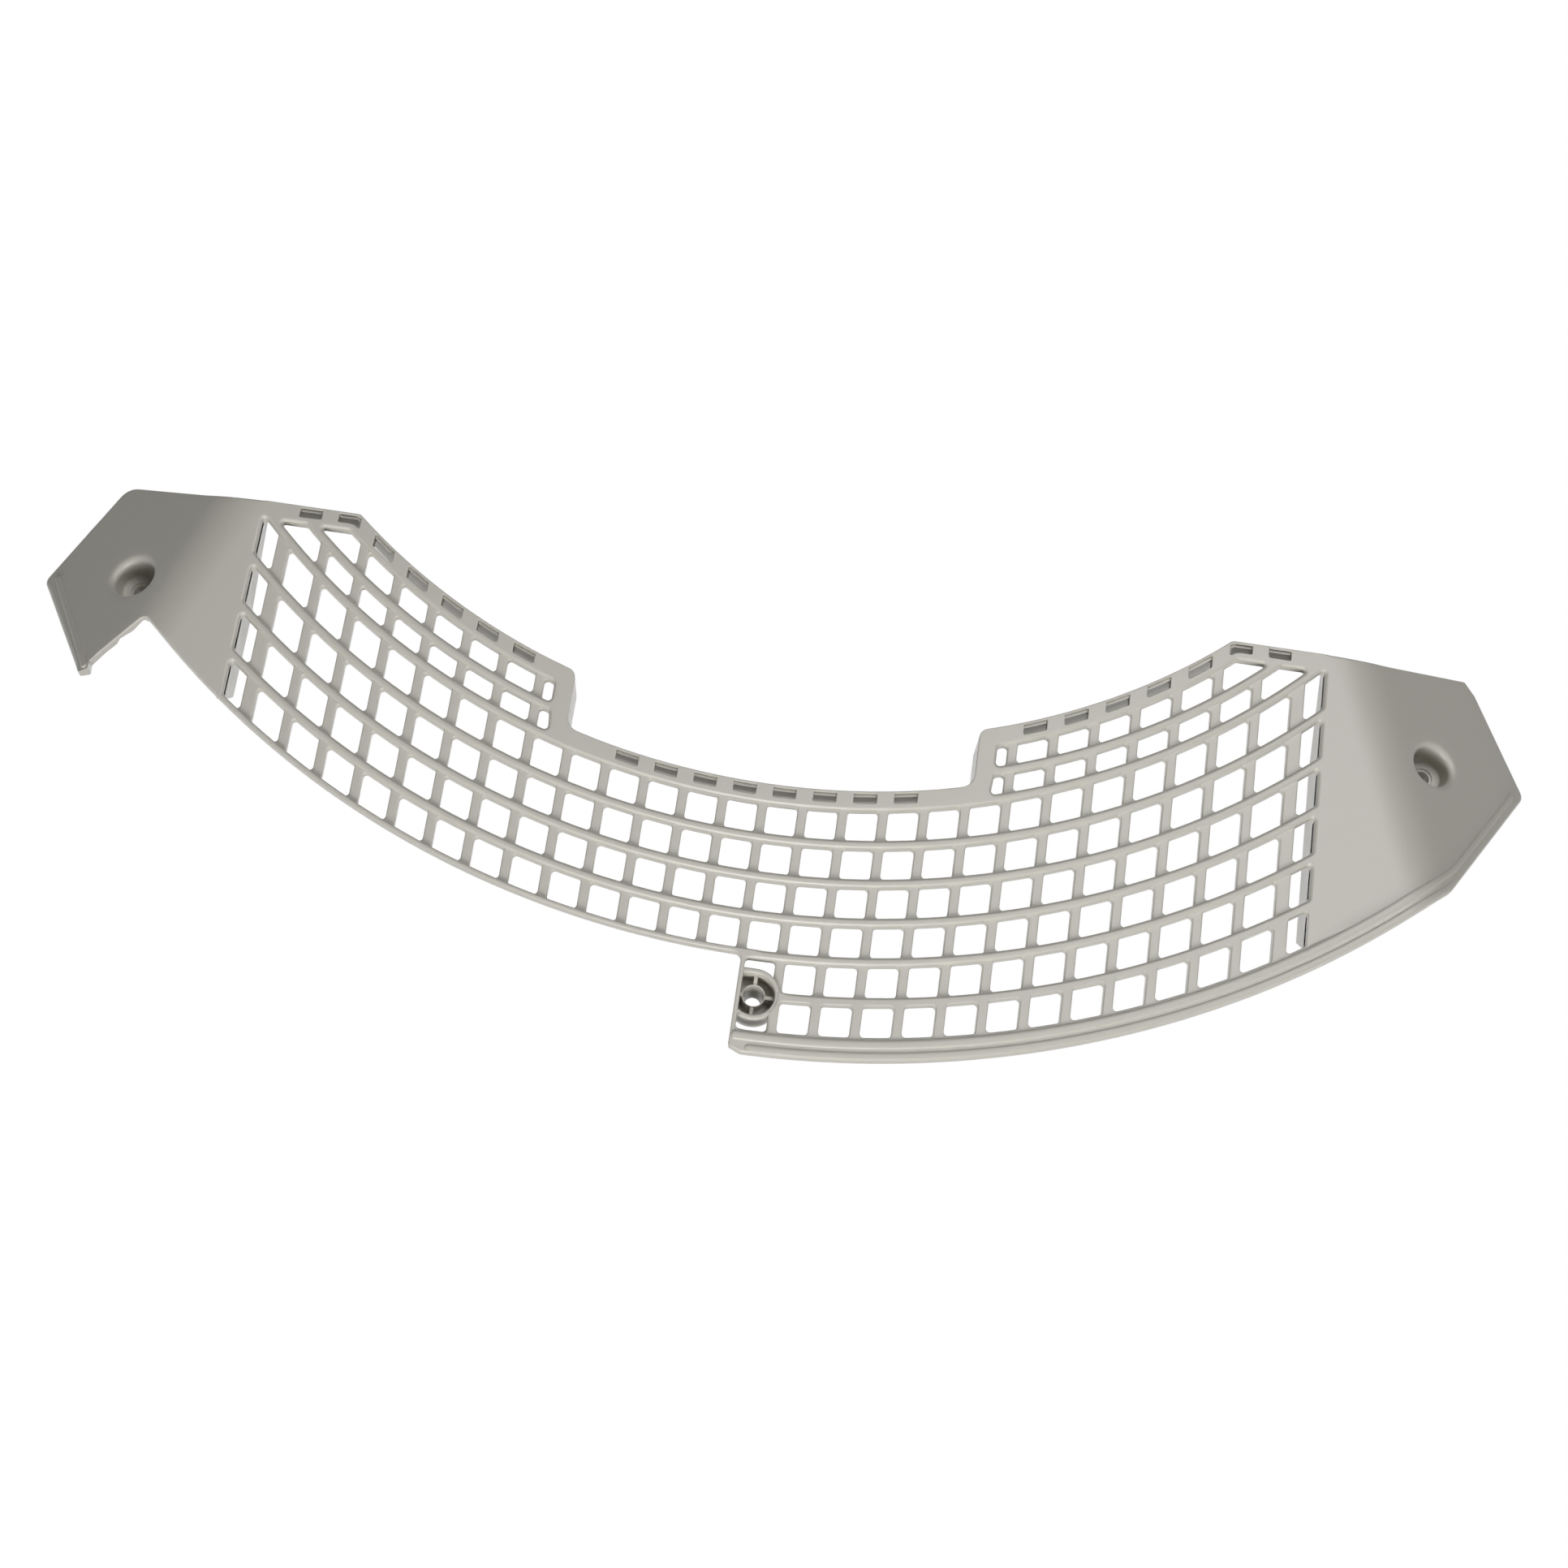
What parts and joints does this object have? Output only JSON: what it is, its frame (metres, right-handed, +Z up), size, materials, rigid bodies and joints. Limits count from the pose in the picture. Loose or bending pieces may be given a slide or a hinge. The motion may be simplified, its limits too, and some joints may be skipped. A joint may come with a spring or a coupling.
{
  "type": "lint filter cover",
  "caption": "Curved one-piece dryer lint filter cover with an open grille, a filter notch in its upper rim and bent-back screw wings at both ends.",
  "frame": {"origin": "midway between the two wing screw holes, on the plane where their bosses meet the dryer", "axes": "+X along the cover to the viewer's right, +Y to the back into the dryer, +Z up"},
  "size_m": [0.4475, 0.0307, 0.1511],
  "materials": {
    "cover_plastic": "fine matte texture"
  },
  "bodies": {
    "root": {"lint_filter_cover": "cover_plastic"}
  },
  "joints": []
}
